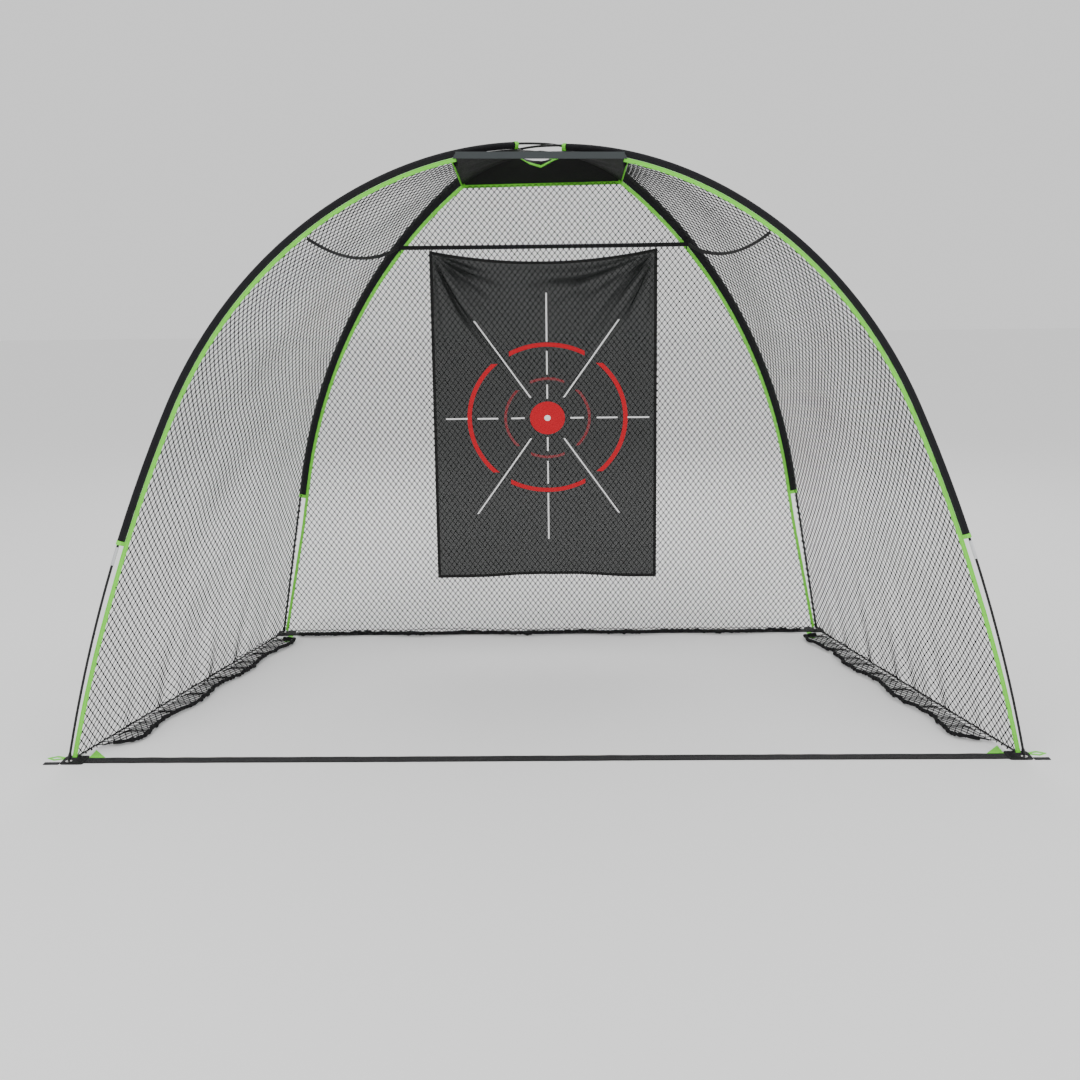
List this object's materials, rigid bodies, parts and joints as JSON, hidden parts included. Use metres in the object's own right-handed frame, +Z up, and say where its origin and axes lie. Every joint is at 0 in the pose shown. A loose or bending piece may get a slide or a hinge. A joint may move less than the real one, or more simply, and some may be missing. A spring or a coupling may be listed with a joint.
{
  "type": "golf chipping net",
  "caption": "Open-fronted pop-up golf hitting net: two crossed arched poles in sleeves carry side, rear and roof panels, with a hanging target sheet and floor skirts.",
  "frame": {"origin": "on the floor, midway between the two front feet, on the underside of the front ground strap", "axes": "+X across the open front to the right as seen by the player, +Y from the open front to the rear net, +Z up"},
  "size_m": [3.345, 1.67, 2.0572],
  "materials": {
    "fibreglass": "pultruded fibreglass, satin black",
    "ferrule_steel": "bright steel tube",
    "elastic_cord": "braided shock cord",
    "black_plastic": "moulded nylon",
    "black_polyester": "plain-woven polyester",
    "green_tape": "woven edging tape",
    "black_netting": "knotted nylon twine",
    "black_cord": "braided cord",
    "target_fabric": "fine mesh polyester with a printed target",
    "eyelet_steel": "pressed eyelet",
    "green_webbing": "woven webbing",
    "black_webbing": "woven webbing"
  },
  "bodies": {
    "frame": {"base_cords": "black_cord", "corner_gussets": "green_tape", "cross_strap": "black_webbing", "crown_trim": "green_tape", "front_corners": "black_webbing", "front_ground_strap": "black_webbing", "front_left_binding": "green_tape", "front_left_sleeve": "black_polyester", "front_right_binding": "green_tape", "front_right_sleeve": "black_polyester", "grommets": "eyelet_steel", "left_net": "black_netting", "left_pole_section_1": "fibreglass", "left_pole_section_2": "fibreglass", "left_pole_section_3": "fibreglass", "left_pole_section_4": "fibreglass", "left_pole_section_5": "fibreglass", "left_pole_section_6": "fibreglass", "left_pole_section_7": "fibreglass", "left_pole_section_8": "fibreglass", "left_side_strap": "black_webbing", "left_skirt": "black_netting", "pole_ferrules": "ferrule_steel", "pole_tips": "black_plastic", "rear_corners": "black_webbing", "rear_ground_strap": "black_webbing", "rear_left_binding": "green_tape", "rear_left_sleeve": "black_polyester", "rear_net": "black_netting", "rear_right_binding": "green_tape", "rear_right_sleeve": "black_polyester", "rear_skirt": "black_netting", "right_net": "black_netting", "right_pole_section_1": "fibreglass", "right_pole_section_2": "fibreglass", "right_pole_section_3": "fibreglass", "right_pole_section_4": "fibreglass", "right_pole_section_5": "fibreglass", "right_pole_section_6": "fibreglass", "right_pole_section_7": "fibreglass", "right_pole_section_8": "fibreglass", "right_side_strap": "black_webbing", "right_skirt": "black_netting", "roof_bindings": "green_tape", "roof_front_hem": "black_polyester", "roof_panel": "black_polyester", "shock_cords": "elastic_cord", "skirt_ropes": "black_cord", "strap_toggles": "black_plastic"},
    "target": {"target_sheet": "target_fabric", "target_hem": "black_polyester", "target_ties": "black_plastic"},
    "front_left_peg_loop_body": {"front_left_peg_loop": "green_webbing"},
    "front_right_peg_loop_body": {"front_right_peg_loop": "green_webbing"},
    "rear_left_peg_loop_body": {"rear_left_peg_loop": "green_webbing"},
    "rear_right_peg_loop_body": {"rear_right_peg_loop": "green_webbing"},
    "front_left_strap_tail_body": {"front_left_strap_tail": "black_webbing"},
    "front_right_strap_tail_body": {"front_right_strap_tail": "black_webbing"}
  },
  "joints": [
    {"name": "target_swing", "type": "hinge", "parent": "frame", "child": "target", "pos_m": [0, 1.215, 1.688], "axis": [1, 0, 0], "range_deg": [-45, 10]},
    {"name": "front_left_peg_loop_lift", "type": "hinge", "parent": "frame", "child": "front_left_peg_loop_body", "pos_m": [-1.6145, 0.035, 0.001], "axis": [0, 1, 0], "range_deg": [0, 110]},
    {"name": "front_left_tail_lift", "type": "hinge", "parent": "frame", "child": "front_left_strap_tail_body", "pos_m": [-1.6145, -0.014, 0.001], "axis": [0, 1, 0], "range_deg": [0, 110]},
    {"name": "rear_left_peg_loop_lift", "type": "hinge", "parent": "frame", "child": "rear_left_peg_loop_body", "pos_m": [-1.156, 1.563, 0.001], "axis": [-1, 0, 0], "range_deg": [0, 100]},
    {"name": "front_right_peg_loop_lift", "type": "hinge", "parent": "frame", "child": "front_right_peg_loop_body", "pos_m": [1.6145, 0.035, 0.001], "axis": [0, -1, 0], "range_deg": [0, 110]},
    {"name": "front_right_tail_lift", "type": "hinge", "parent": "frame", "child": "front_right_strap_tail_body", "pos_m": [1.6145, -0.014, 0.001], "axis": [0, -1, 0], "range_deg": [0, 110]},
    {"name": "rear_right_peg_loop_lift", "type": "hinge", "parent": "frame", "child": "rear_right_peg_loop_body", "pos_m": [1.156, 1.563, 0.001], "axis": [-1, 0, 0], "range_deg": [0, 100]}
  ]
}
